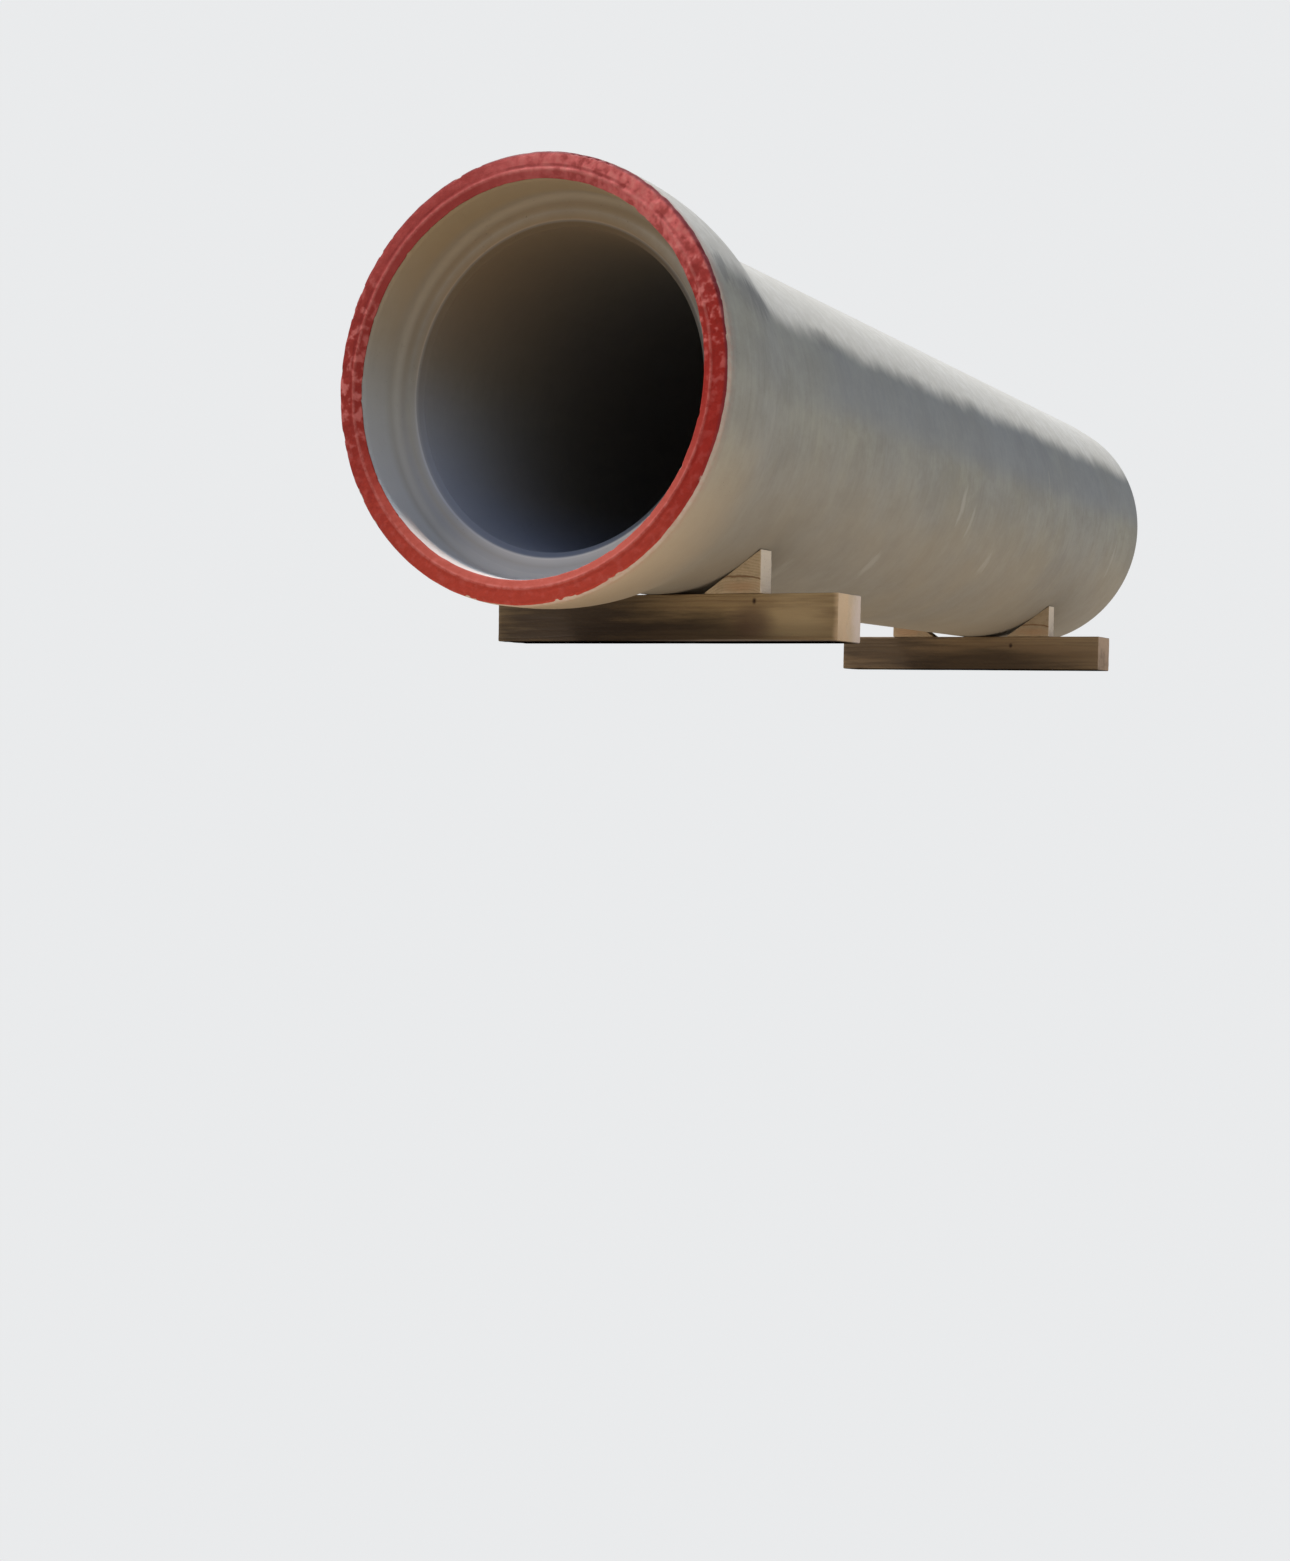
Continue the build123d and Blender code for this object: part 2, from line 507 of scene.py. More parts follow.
def concrete_and_paint():
    """Cast concrete, grey to beige, with the red coat that is brushed on the mouth and the spigot's end."""
    material = bpy.data.materials.new("cast_concrete")
    g = Graph(material)
    place = g.add("ShaderNodeTexCoord").outputs["Object"]
    centred = g.vector("SUBTRACT", place, (0.0, MOUTH_Y, AXIS_HEIGHT))
    radial = g.vector("MULTIPLY", centred, (1.0, 0.0, 1.0))
    unit_radial = g.vector("NORMALIZE", radial)
    radius = g.vector("LENGTH", radial)
    axes = g.add("ShaderNodeSeparateXYZ", {0: centred}).outputs
    distance = axes[1]
    degrees = g.math("MULTIPLY", g.math("ARCTAN2", axes[2], axes[0]), 180 / math.pi)
    normal = g.add("ShaderNodeNewGeometry").outputs["Normal"]
    outside = g.span(g.vector("DOT_PRODUCT", normal, unit_radial), -0.1, 0.1)
    inside = g.math("SUBTRACT", 1.0, outside)

    def towards(turn, reach, full=0.0):
        """1 near a direction round the axis, in degrees from +X, and 0 beyond its reach."""
        direction = (math.cos(math.radians(turn)), 0.0, math.sin(math.radians(turn)))
        closeness = g.vector("DOT_PRODUCT", unit_radial, direction)
        return g.span(closeness, math.cos(math.radians(reach)), math.cos(math.radians(full)))

    def share(*factors):
        product = factors[0]
        for factor in factors[1:]:
            product = g.math("MULTIPLY", product, factor)
        return product

    # Ground tone: cloudy, with rings left by the turning form
    clouds = g.noise(centred, (1.3, 0.9, 1.3), 4.0, 0.6)
    tone = g.blend(g.span(clouds, 0.35, 0.68), (0.340, 0.345, 0.330), (0.384, 0.379, 0.324))
    streaks = g.noise(centred, (1.6, 28.0, 1.6), 5.0, 0.70)
    fine_streaks = g.noise(centred, (2.5, 260.0, 2.5), 3.0, 0.6)
    ringed = g.span(outside, 0.0, 1.0, 0.10, 0.36)
    tone = g.blend(ringed, tone, g.blend(streaks, (0.27, 0.28, 0.30), (0.70, 0.68, 0.65)), "OVERLAY")
    tone = g.blend(0.20, tone, g.blend(fine_streaks, (0.32, 0.32, 0.32), (0.68, 0.68, 0.68)), "OVERLAY")
    mottle = g.noise(centred, 26.0, 5.0, 0.62)
    tone = g.blend(0.30, tone, g.blend(mottle, (0.34, 0.33, 0.31), (0.64, 0.63, 0.61)), "OVERLAY")
    patches = g.span(g.noise(centred, (6.0, 4.5, 6.0), 5.0, 0.68), 0.34, 0.66)
    patchy = g.span(outside, 0.0, 1.0, 0.10, 0.42)
    tone = g.blend(patchy, tone, g.blend(patches, (0.40, 0.39, 0.37), (0.59, 0.59, 0.59)), "OVERLAY")

    # The upper third is paler all round, partly dust and weather and partly painted sunlight, with a soft
    # uneven edge. Below it on the flanks lies a bluish band of painted shade, and along its edge on the
    # right side a brighter strip of painted sunlight.
    uneven = g.swing(g.noise(centred, (3.0, 5.0, 3.0), 4.0, 0.6), 0.20)
    up = g.math("ADD", g.vector("DOT_PRODUCT", unit_radial, (0.0, 0.0, 1.0)), uneven)
    # Painted shade: a bluish band along both flanks, just below where the lit top turns into shade
    painted_shade_band = share(g.math("MAXIMUM", towards(15, 18, 5), towards(165, 18, 5)), outside)
    painted_shade_band = share(painted_shade_band, g.span(distance, 0.60, 1.20, 0.15, 0.50))
    tone = g.blend(painted_shade_band, tone, (0.270, 0.295, 0.335))
    # Partly dust and weather, partly painted sunlight: the whole crown is paler
    bleach_and_painted_sun = share(g.span(up, 0.38, 0.70), outside, 0.85)
    weathered_and_sunlit_tone = g.blend(g.span(streaks, 0.34, 0.66), (0.490, 0.470, 0.425), (0.640, 0.625, 0.590))
    weathered_and_sunlit_tone = g.blend(g.span(clouds, 0.35, 0.66, 0.0, 0.55), weathered_and_sunlit_tone, (0.600, 0.570, 0.510))
    weathered_and_sunlit_tone = g.blend(g.span(mottle, 0.60, 0.40, 0.0, 0.30), weathered_and_sunlit_tone, (0.430, 0.415, 0.380))
    tone = g.blend(bleach_and_painted_sun, tone, weathered_and_sunlit_tone)
    # Painted sunlight: a brighter strip along the lower edge of the lit top, on the right side only
    painted_sun_strip = share(g.span(up, 0.385, 0.540), towards(38, 34, 14), outside)
    painted_sun_strip = share(painted_sun_strip, g.span(distance, 0.1, 1.0, 0.55, 0.93))
    sun_strip_tone = g.blend(g.span(streaks, 0.34, 0.66), (0.860, 0.835, 0.765), (0.920, 0.900, 0.845))
    sun_strip_tone = g.blend(g.span(mottle, 0.60, 0.42, 0.0, 0.40), sun_strip_tone, (0.715, 0.690, 0.620))
    sun_strip_tone = g.blend(g.span(clouds, 0.38, 0.66, 0.0, 0.35), sun_strip_tone, (0.740, 0.710, 0.640))
    tone = g.blend(painted_sun_strip, tone, sun_strip_tone)

    # Painted warm bounce light on the underside, and a warmer, paler tint low on the bell next to the mouth
    painted_warm_bounce = share(g.span(up, 0.15, -0.75), g.span(clouds, 0.25, 0.75, 0.45, 0.80), outside)
    tone = g.blend(painted_warm_bounce, tone, (0.400, 0.328, 0.248))
    near_mouth = share(towards(-80, 70, 20), g.span(distance, 0.55, 0.03), outside)
    tone = g.blend(g.math("MULTIPLY", near_mouth, 0.55), tone, (0.550, 0.400, 0.245))

    # Inside: painted olive-brown bounce light under the crown, painted cold grey skylight below, and a pale
    # painted patch of sunlight low by the mouth
    painted_ground_bounce = share(towards(100, 92, 15), inside, g.span(distance, 1.4, 0.1, 0.30, 0.80))
    tone = g.blend(painted_ground_bounce, tone, (0.400, 0.265, 0.125))
    painted_skylight = share(towards(-116, 85, 20), inside, g.span(distance, 1.3, 0.2, 0.10, 0.80))
    tone = g.blend(painted_skylight, tone, (0.580, 0.620, 0.700))
    painted_sun_crescent = share(towards(-117, 26, 14), inside, g.span(distance, 0.080, 0.062))
    tone = g.blend(g.math("MULTIPLY", painted_sun_crescent, 0.95), tone, (0.900, 0.800, 0.765))

    # The seat and its bevel are darkened with painted shade to the wall's level and tinted blue by painted
    # skylight low down, and low down the seat carries a pale painted patch of sunlight. A faint pale line
    # runs between the seat and the bevel.
    by_seat = share(g.span(distance, 0.150, 0.165), inside)
    seat_zone = share(g.span(radius, SOCKET_RADIUS - 0.006, SOCKET_RADIUS - 0.034), by_seat)
    seat_shade_tint = g.blend(painted_skylight, (0.760, 0.690, 0.620), (0.800, 0.840, 0.960))
    tone = g.blend(seat_zone, tone, seat_shade_tint, "MULTIPLY")
    # Painted shade, brownish, over the seat next to its corner with the wall
    by_corner = g.span(radius, SOCKET_RADIUS - 0.048, SOCKET_RADIUS - 0.016)
    corner = share(g.span(distance, 0.125, 0.180), by_corner, inside, 0.42)
    tone = g.blend(corner, tone, (0.295, 0.268, 0.225))
    bore_rim = BORE_RADIUS + SEAT_BEVEL
    # Painted shade: the bevel and the whole bore are darkened and tinted blue, and the bevel darker still
    bevel_zone = share(g.span(radius, bore_rim + 0.001, bore_rim - 0.002), inside)
    tone = g.blend(bevel_zone, tone, (0.760, 0.800, 0.880), "MULTIPLY")
    on_bevel = share(bevel_zone, g.span(distance, SOCKET_DEPTH + 0.030, SOCKET_DEPTH + 0.014))
    tone = g.blend(on_bevel, tone, (0.700, 0.690, 0.680), "MULTIPLY")
    # Painted sunlight: a pale patch low on the seat
    painted_lit_seat = share(towards(-78, 60, 14), g.span(distance, 0.060, 0.170), inside, 0.90)
    painted_lit_seat = share(painted_lit_seat, g.span(radius, bore_rim - 0.004, bore_rim + 0.004))
    tone = g.blend(painted_lit_seat, tone, (0.860, 0.815, 0.780))
    at_seat = g.span(g.off(distance, SOCKET_DEPTH), 0.012, 0.004)
    rim_line = share(g.span(g.off(radius, bore_rim), 0.0085, 0.0010), at_seat, inside, 0.16)
    tone = g.blend(rim_line, tone, (0.540, 0.540, 0.525))
    # Painted shade: the bore grows darker with depth
    painted_depth_shade = share(g.span(distance, SOCKET_DEPTH, SOCKET_DEPTH + 1.8, 0.0, 0.70), inside)
    tone = g.blend(painted_depth_shade, tone, (0.150, 0.142, 0.132))
    # Painted skylight: a blue tint along the bottom of the bore, fading towards the far end
    painted_sky_tint = share(towards(-92, 62, 12), bevel_zone, g.span(distance, SOCKET_DEPTH, 0.50, 0.10, 0.80))
    tone = g.blend(g.math("MULTIPLY", painted_sky_tint, g.span(distance, 3.2, 1.4)), tone, (0.270, 0.330, 0.500))

    # Scuffs of pale dust, and darker blotches on the visible flank, most of them along the line where the
    # lit top turns into shade
    torn = g.swing(g.noise(centred, (14.0, 45.0, 14.0), 4.0, 0.65), 2.4)

    def patch(turn, along, turn_reach, along_reach, strength):
        """A ragged blotch on the outside at a turn in degrees and a distance from the mouth."""
        across = g.math("DIVIDE", g.math("SUBTRACT", degrees, turn), turn_reach)
        onward = g.math("DIVIDE", g.math("SUBTRACT", distance, along), along_reach)
        off = g.vector("LENGTH", g.add("ShaderNodeCombineXYZ", {0: across, 1: onward}).outputs[0])
        return share(g.span(g.math("ADD", off, torn), 1.25, 0.45), outside, strength)

    # Turn, distance, reach round the pipe, reach along it, strength
    scuffs = (
        (-15, 2.42, 8.0, 0.022, 0.36),
        (-21, 2.57, 7, 0.014, 0.26),
        (-35, 2.98, 6, 0.035, 0.30),
        (-47, 1.84, 6, 0.035, 0.28),
        (-18, 4.75, 9, 0.015, 0.25),
        (4, 3.55, 10, 0.012, 0.16),
        (-58, 1.20, 8, 0.04, 0.20),
        (-155, 1.30, 8, 0.03, 0.25),
        (-142, 3.90, 7, 0.03, 0.25),
    )
    dark_blotches = (
        (27, 0.10, 5, 0.05, 0.55),
        (22, 0.24, 5, 0.09, 0.35),
        (23, 0.37, 5, 0.10, 0.60),
        (26, 0.48, 3, 0.06, 0.50),
        (27, 1.05, 4, 0.10, 0.35),
        (26, 1.95, 3, 0.12, 0.25),
        (-32, 3.90, 14, 0.14, 0.18),
    )
    for scuff in scuffs:
        tone = g.blend(patch(*scuff), tone, (0.600, 0.570, 0.520))
    for dark_blotch in dark_blotches:
        tone = g.blend(patch(*dark_blotch), tone, (0.215, 0.215, 0.215))

    # Pores
    pits = g.cells(centred, 95.0)
    pit_mask = share(g.span(pits, 0.16, 0.05), g.span(g.noise(centred, 17.0), 0.56, 0.66))
    tone = g.blend(g.math("MULTIPLY", pit_mask, 0.60), tone, (0.13, 0.12, 0.11))

    # Red coat, ragged where the brush ran out. It wraps the rounding at the upper right, and elsewhere
    # leaves a band of bare arris that is made paler with a painted highlight.
    ragged = g.noise(centred, 60.0, 4.0, 0.6)
    slow = g.noise(centred, 9.0, 2.0, 0.5)
    edge = g.math("ADD", g.math("MULTIPLY", ragged, 0.0030), g.math("MULTIPLY", slow, 0.008))
    wrap = g.math("ADD", g.math("MULTIPLY", towards(50, 42, 14), 0.013), 0.0025)
    limit = g.math("ADD", edge, g.blend(outside, (0.009, 0.009, 0.009), wrap))
    painted = g.span(g.math("SUBTRACT", limit, distance), -0.0010, 0.0010)
    from_end = g.math("SUBTRACT", LENGTH, distance)
    painted_end = g.span(g.math("SUBTRACT", edge, from_end), 0.0022, 0.0036)
    painted = g.math("MAXIMUM", painted, painted_end)
    # Bare arris with a painted highlight: a paler warm band just behind the coat
    pale_arris_and_highlight = share(g.span(distance, 0.036, 0.018), outside, g.span(slow, 0.30, 0.62, 0.45, 0.85))
    tone = g.blend(pale_arris_and_highlight, tone, (0.600, 0.515, 0.430))
    overspray = share(g.span(distance, 0.075, 0.012), outside, g.span(ragged, 0.35, 0.65, 0.06, 0.26))
    tone = g.blend(overspray, tone, (0.480, 0.130, 0.095))

    # The coat is thick and blotchy at the upper right and smooth below
    blotch = g.noise(centred, 34.0, 2.0, 0.5, 0.1)
    uneven_side = g.math("MAXIMUM", towards(48, 60, 15), share(towards(172, 30, 8), 0.8))
    blotchy = g.math("ADD", g.math("MULTIPLY", uneven_side, 0.80), 0.10)
    dabs = g.noise(centred, 48.0, 3.0, 0.6, 0.3)
    red = g.blend(g.span(dabs, 0.34, 0.62), (0.360, 0.032, 0.021), (0.430, 0.043, 0.026))
    # Painted light: the upper half of the coat is lighter where grazing sunlight falls, with a painted
    # highlight at the upper right
    red = g.blend(share(towards(110, 75, 20), 0.70), red, (0.480, 0.078, 0.072))
    red = g.blend(share(towards(60, 50, 20), 0.80), red, (0.820, 0.185, 0.175))
    # Painted shade: darker at the right, the lower right and the left; a lighter, oranger tone at the bottom
    red = g.blend(share(towards(-4, 44, 20), 0.75), red, (0.325, 0.010, 0.005))
    red = g.blend(share(towards(-48, 30, 12), 0.40), red, (0.340, 0.030, 0.016))
    red = g.blend(share(towards(178, 34, 12), 0.60), red, (0.300, 0.022, 0.015))
    red = g.blend(share(towards(-95, 60, 20), 0.70), red, (0.450, 0.050, 0.028))
    # Partly uneven coat, partly painted light: dark and pale pink blotches stand for shade and highlights on
    # the lumps where the coat is thick
    red = g.blend(share(g.span(blotch, 0.52, 0.34), blotchy, 0.65), red, (0.290, 0.026, 0.020))
    red = g.blend(share(g.span(blotch, 0.48, 0.68), blotchy), red, (0.800, 0.225, 0.200))
    lip_edge = SOCKET_RADIUS + LIP_BEVEL_WIDTH
    bevel = g.span(radius, lip_edge + 0.001, lip_edge - 0.003)
    # Painted light on the bevel: lighter low down where it faces the sky, darker at the top where it faces
    # down
    red = g.blend(share(bevel, towards(-85, 85, 25), 0.50), red, (0.620, 0.150, 0.115))
    red = g.blend(share(bevel, towards(120, 85, 30), 0.55), red, (0.230, 0.022, 0.018))
    # A painted highlight along the ridge between the bevel and the face
    ridge_off = g.off(radius, lip_edge + 0.001)
    painted_ridge_highlight = share(g.span(ridge_off, 0.0080, 0.0010), g.span(dabs, 0.30, 0.65, 0.10, 0.42))
    red = g.blend(painted_ridge_highlight, red, (0.680, 0.230, 0.200))
    # Painted shade in the shallow trough outside the ridge
    trough_off = g.off(radius, lip_edge + 0.013)
    trough = share(g.span(trough_off, 0.0070, 0.0015), g.span(slow, 0.35, 0.60, 0.10, 0.55))
    red = g.blend(share(trough, towards(110, 100, 40)), red, (0.240, 0.022, 0.020))
    # Painted shade on the outer rounding, along the top
    rounding = share(g.span(radius, BELL_RADIUS - 0.014, BELL_RADIUS - 0.004), towards(70, 120, 60), 0.85)
    red = g.blend(rounding, red, (0.140, 0.020, 0.030))
    colour = g.blend(painted, tone, red)

    # Relief
    grain = g.noise(centred, 330.0, 5.0, 0.65)
    relief = g.math("ADD", g.math("MULTIPLY", grain, 0.35), g.math("MULTIPLY", mottle, 0.14))
    relief = g.math("ADD", relief, g.math("MULTIPLY", fine_streaks, 0.12))
    relief = g.math("SUBTRACT", relief, g.math("MULTIPLY", pit_mask, 1.6))
    coat = g.math("ADD", g.math("MULTIPLY", dabs, 1.6), g.math("MULTIPLY", blotch, 1.2))
    relief = g.blend(painted, relief, coat)
    roughness = g.blend(painted, (0.88, 0.88, 0.88), (0.58, 0.58, 0.58))
    g.surface(colour, roughness, g.bump(relief, 0.0012), 0.18)
    return material


def timber(name, grain, heart, tones, dirt, dark_ring=None, marks=()):
    """Sawn softwood. Grain is the axis that it runs along and heart a point of the tree's middle line.
    Tones are those of the early wood, the late wood and the cut faces that look along X. Dark_ring is
    the radius of one growth ring that stands out. Marks are (middle, reach, colour, strength)."""
    early, late_wood, cut = tones
    material = bpy.data.materials.new(name)
    g = Graph(material)
    place = g.add("ShaderNodeTexCoord").outputs["Object"]
    from_heart = g.vector("SUBTRACT", place, heart)
    across = tuple(0.0 if axis == grain else 1.0 for axis in "XYZ")
    slow_along = tuple(0.9 if axis == grain else 9.0 for axis in "XYZ")
    fibre_along = tuple(6.0 if axis == grain else 260.0 for axis in "XYZ")
    stain_along = tuple(2.2 if axis == grain else 22.0 for axis in "XYZ")

    # Growth rings about the heart, wandering along the length
    from_middle = g.vector("LENGTH", g.vector("MULTIPLY", from_heart, across))
    wander = g.noise(place, slow_along, 3.0)
    out = g.math("ADD", from_middle, g.math("MULTIPLY", wander, 0.030))
    turn = g.math("MULTIPLY", out, 2 * math.pi / RING_SPACING)
    ring = g.math("ADD", g.math("MULTIPLY", g.math("SINE", turn), 0.5), 0.5)
    late = g.math("POWER", ring, 2.6)
    fibre = g.noise(place, fibre_along, 4.0, 0.6)
    dark_blotch = g.noise(place, stain_along, 4.0, 0.6)
    tone = g.blend(g.math("MULTIPLY", late, 0.42), early, late_wood)
    tone = g.blend(0.35, tone, g.blend(fibre, (0.32, 0.32, 0.32), (0.70, 0.70, 0.70)), "OVERLAY")
    tone = g.blend(g.math("MULTIPLY", g.span(dark_blotch, 0.45, 0.72), dirt), tone, (0.190, 0.115, 0.062))

    # The faces that look along X are freshly cut and pale
    normal = g.add("ShaderNodeNewGeometry").outputs["Normal"]
    facing = g.math("ABSOLUTE", g.vector("DOT_PRODUCT", normal, (1.0, 0.0, 0.0)))
    on_end = g.span(facing, 0.6, 0.9)
    tone = g.blend(g.math("MULTIPLY", on_end, 0.88), tone, cut)
    specks = g.noise(place, 120.0, 3.0)
    tone = g.blend(g.span(specks, 0.58, 0.75, 0.0, 0.28), tone, (0.25, 0.17, 0.11))

    if dark_ring is not None:
        wavy = g.swing(g.noise(place, 30.0, 2.0), 0.010)
        off = g.off(g.math("ADD", from_middle, wavy), dark_ring)
        seen = g.math("MULTIPLY", g.span(off, 0.0050, 0.0012, 0.0, 0.75), g.math("SUBTRACT", 1.0, on_end))
        tone = g.blend(seen, tone, (0.200, 0.095, 0.040))

    ragged = g.swing(g.noise(place, stain_along, 5.0, 0.6), 1.6)
    for middle, reach, colour, strength in marks:
        offset = g.vector("DIVIDE", g.vector("SUBTRACT", place, middle), reach)
        off = g.math("ADD", g.vector("LENGTH", offset), ragged)
        tone = g.blend(g.span(off, 1.35, 0.25, 0.0, strength), tone, colour)

    saw = g.noise(place, tuple(420.0 if axis == grain else 8.0 for axis in "XYZ"), 2.0)
    relief = g.math("ADD", g.math("MULTIPLY", fibre, 0.6), g.math("MULTIPLY", late, 0.5))
    relief = g.math("ADD", relief, g.math("MULTIPLY", saw, 0.35))
    roughness = g.span(fibre, 0.2, 0.8, 0.72, 0.88)
    g.surface(tone, roughness, g.bump(relief, 0.0010), 0.25)
    return material


# Camera: below the pipe and to its right, as the photograph was taken

def place_camera():
    lens = 46.13
    roll_turn, heading_turn, pitch_turn = (math.radians(turn) for turn in (-1.2, 27.62, 90 - 1.35))
    from_mouth = Vector((3.1274, -5.1845, -1.0637))

    data = bpy.data.cameras.new("camera")
    data.lens = lens
    data.sensor_width = 36.0
    data.clip_end = 200.0
    camera = bpy.data.objects.new("camera", data)
    bpy.context.scene.collection.objects.link(camera)
    roll = Matrix.Rotation(roll_turn, 4, "Y")
    heading = Matrix.Rotation(heading_turn, 4, "Z")
    pitch = Matrix.Rotation(pitch_turn, 4, "X")
    mouth_centre = Vector((0, MOUTH_Y, AXIS_HEIGHT))
    place = mouth_centre + roll.to_3x3() @ from_mouth
    camera.matrix_world = Matrix.Translation(place) @ roll @ heading @ pitch
    bpy.context.scene.camera = camera


def light_scene():
    """A key like a high sun from the left, a broad warm fill from the right, a glow from below the barrel
    and a soft sky that is warmer towards the horizon."""
    suns = (
        ("key", (-0.405, -0.087, 0.910), 3.3, 6.0, (1.0, 0.985, 0.960)),
        ("fill", (0.935, -0.330, 0.120), 0.50, 60.0, (1.0, 0.935, 0.800)),
    )
    for name, direction, energy, spread, colour in suns:
        data = bpy.data.lights.new(name, "SUN")
        data.energy = energy
        data.angle = math.radians(spread)
        data.color = colour
        sun = bpy.data.objects.new(name, data)
        sun.rotation_mode = "QUATERNION"
        sun.rotation_quaternion = Vector(direction).to_track_quat("Z", "Y")
        bpy.context.scene.collection.objects.link(sun)

    # A card that lies face up on the floor and lights the underside
    card_data = bpy.data.lights.new("glow", "AREA")
    card_data.shape = "RECTANGLE"
    card_data.size = 1.7
    card_data.size_y = 6.4
    card_data.energy = 0.34 * math.pi * card_data.size * card_data.size_y
    card_data.color = (1.0, 0.880, 0.720)
    card = bpy.data.objects.new("glow", card_data)
    card.location = (0.30, -0.30, 0.002)
    card.rotation_mode = "QUATERNION"
    card.rotation_quaternion = Vector((0.0, 0.0, -1.0)).to_track_quat("Z", "Y")
    card.visible_camera = False
    bpy.context.scene.collection.objects.link(card)

    world = bpy.data.worlds.new("studio")
    bpy.context.scene.world = world
    g = Graph(world)
    direction = g.add("ShaderNodeTexCoord").outputs["Generated"]
    up = g.add("ShaderNodeSeparateXYZ", {0: direction}).outputs[2]
    sky = g.blend(g.span(up, -0.02, 0.35), (0.310, 0.285, 0.240), (0.205, 0.255, 0.345))
    lights = g.add("ShaderNodeBackground", {0: sky, 1: 1.0})
    shown = g.add("ShaderNodeBackground", {0: (0.82, 0.83, 0.84), 1: 1.0})
    path = g.add("ShaderNodeLightPath").outputs
    seen = g.math("MAXIMUM", path["Is Camera Ray"], path["Is Glossy Ray"])
    seen = g.math("MAXIMUM", seen, path["Is Transmission Ray"])
    mixed = g.add("ShaderNodeMixShader", {0: seen, 1: lights.outputs[0], 2: shown.outputs[0]})
    g.add("ShaderNodeOutputWorld", {0: mixed.outputs[0]})


def lay_floor():
    """A pale floor. The camera looks from just under its level, so its underside lets the camera through."""
    size = 60.0
    mesh = bpy.data.meshes.new("floor")
    corners = [(-size, -size, -0.001), (size, -size, -0.001), (size, size, -0.001), (-size, size, -0.001)]
    mesh.from_pydata(corners, [], [(0, 1, 2, 3)])
    floor = bpy.data.objects.new("floor", mesh)
    bpy.context.scene.collection.objects.link(floor)
    material = bpy.data.materials.new("pale_floor")
    g = Graph(material)
    clear = g.add("ShaderNodeBsdfTransparent")
    below = g.add("ShaderNodeNewGeometry").outputs["Backfacing"]
    camera_ray = g.add("ShaderNodeLightPath").outputs["Is Camera Ray"]
    through = g.math("MULTIPLY", below, camera_ray)
    # To the camera the floor is as pale as the background, and it bounces a warmer light
    pale = g.blend(camera_ray, (0.600, 0.560, 0.500), (0.668, 0.677, 0.676))
    matt = g.add("ShaderNodeBsdfDiffuse", {"Color": pale})
    mixed = g.add("ShaderNodeMixShader", {0: through, 1: matt.outputs[0], 2: clear.outputs[0]})
    g.add("ShaderNodeOutputMaterial", {0: mixed.outputs[0]})
    mesh.materials.append(material)


bpy.context.scene.view_settings.view_transform = "Standard"
place_camera()
light_scene()
lay_floor()

concrete = concrete_and_paint()
points, faces = pipe_mesh()
mesh_piece("concrete_pipe", points, faces, concrete, "pipe")

# Dark brown for painted shade on the bearers
PAINTED_SHADE_BROWN = (0.040, 0.026, 0.018)
UMBER = (0.120, 0.068, 0.045)
KNOT = (0.045, 0.022, 0.012)
TAN = (0.680, 0.510, 0.290)
PINKISH = (0.900, 0.740, 0.640)
RUSSET = (0.520, 0.300, 0.165)
AMBER = (0.900, 0.640, 0.400)

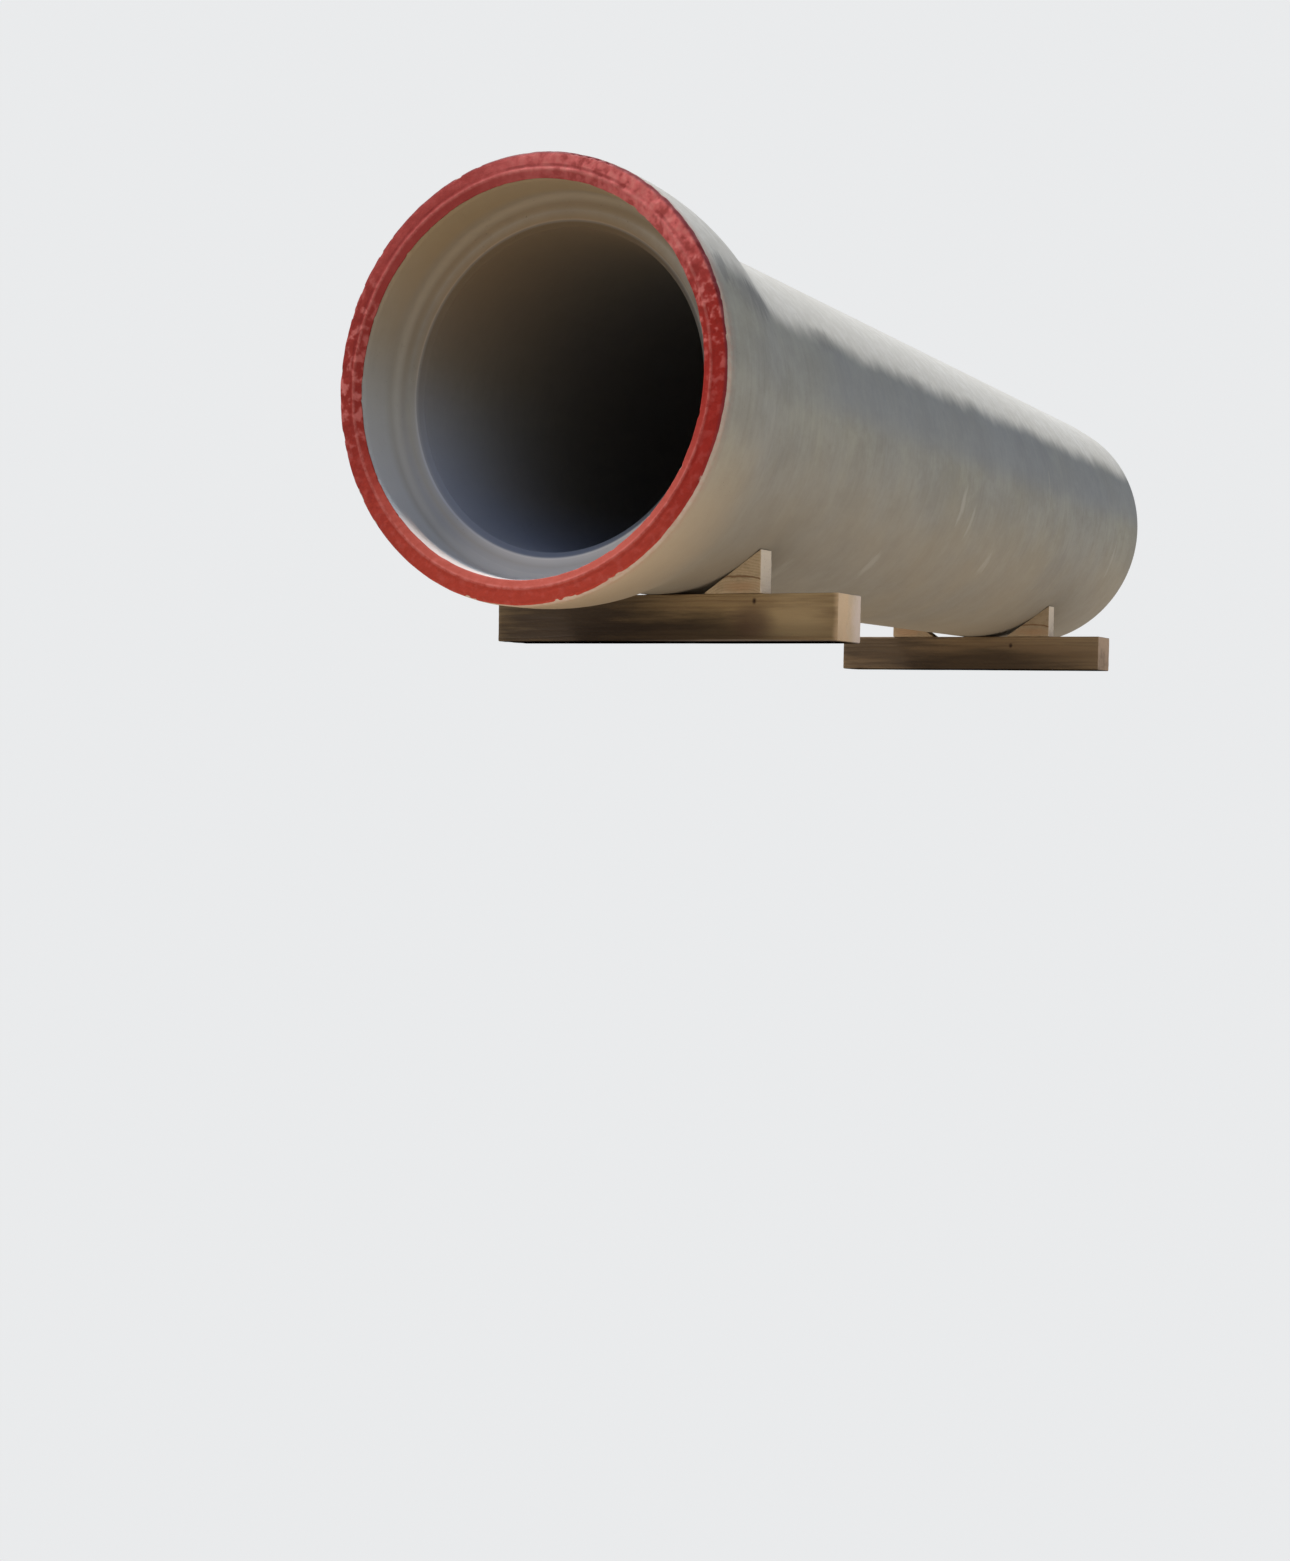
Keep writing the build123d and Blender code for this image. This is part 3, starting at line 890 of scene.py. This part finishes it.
for number, node in enumerate(("front_bearer", "rear_bearer")):
    low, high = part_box(node)
    face = low.y
    if node == "front_bearer":
        tones = ((0.430, 0.300, 0.155), (0.250, 0.150, 0.072), (0.820, 0.650, 0.470))
        marks = [
            # Painted shade: the left part of the face is darkened as if shaded by a neighbouring pipe, and
            # the next mark darkens it towards the bottom edge
            ((-0.32, face, 0.05), (0.52, 0.26, 0.20), PAINTED_SHADE_BROWN, 0.95),
            ((0.12, face, 0.020), (0.56, 0.20, 0.075), PAINTED_SHADE_BROWN, 0.80),
            ((0.52, face, 0.085), (0.16, 0.30, 0.08), TAN, 0.45),
            ((0.37, face, 0.070), (0.075, 0.20, 0.060), UMBER, 0.65),
            ((0.36, face, 0.0), (0.45, 0.012, 0.006), PINKISH, 0.80),
            ((high.x, low.y + 0.04, 0.08), (0.02, 0.085, 0.20), AMBER, 0.70),
            ((high.x, high.y, 0.06), (0.02, 0.080, 0.20), PINKISH, 0.90),
            ((0.374, face, 0.134), (0.009, 0.05, 0.013), KNOT, 1.0),
        ]
    else:
        tones = ((0.340, 0.232, 0.130), (0.200, 0.125, 0.066), (0.560, 0.405, 0.290))
        marks = [
            # Painted shade: darker towards the bottom in the middle and at the left
            ((0.05, face, 0.03), (0.62, 0.26, 0.10), PAINTED_SHADE_BROWN, 0.80),
            ((-0.45, face, 0.09), (0.34, 0.30, 0.12), PAINTED_SHADE_BROWN, 0.70),
            ((0.21, face, 0.115), (0.010, 0.05, 0.012), KNOT, 1.0),
        ]
    heart = (0.0, low.y + 0.42 * (high.y - low.y), low.z + 0.45 * (high.z - low.z))
    wood = timber(node + "_wood", "X", heart, tones, 0.50, marks=marks)
    points, faces = bearer_mesh(node, 101 + 50 * number)
    mesh_piece("sawn_" + node, points, faces, wood, node)

chocks = ("front_right_chock", "front_left_chock", "rear_right_chock", "rear_left_chock")
for number, node in enumerate(chocks):
    low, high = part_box(node)
    side = 1 if low.x > 0 else -1
    middle_x = (low.x + high.x) / 2
    heart = (middle_x + 0.02 * side, 0.0, low.z - 0.26)
    under_arc = ((middle_x + 0.03 * side, low.y, low.z + 0.022), (0.075, 0.06, 0.022), RUSSET, 0.55)
    # Painted light and shade: the end faces of the right chocks, which the key leaves in shade, are made
    # paler, and those of the left chocks, which it lights, darker
    cut = (0.950, 0.825, 0.680) if side > 0 else (0.640, 0.500, 0.340)
    early = (0.640, 0.495, 0.320) if node.startswith("front") else (0.470, 0.355, 0.228)
    tones = (early, (0.430, 0.295, 0.170), cut)
    wood = timber(node + "_wood", "Y", heart, tones, 0.28, 0.318, [under_arc])
    points, faces = chock_mesh(node, side, 301 + 20 * number)
    mesh_piece("sawn_" + node, points, faces, wood, node)
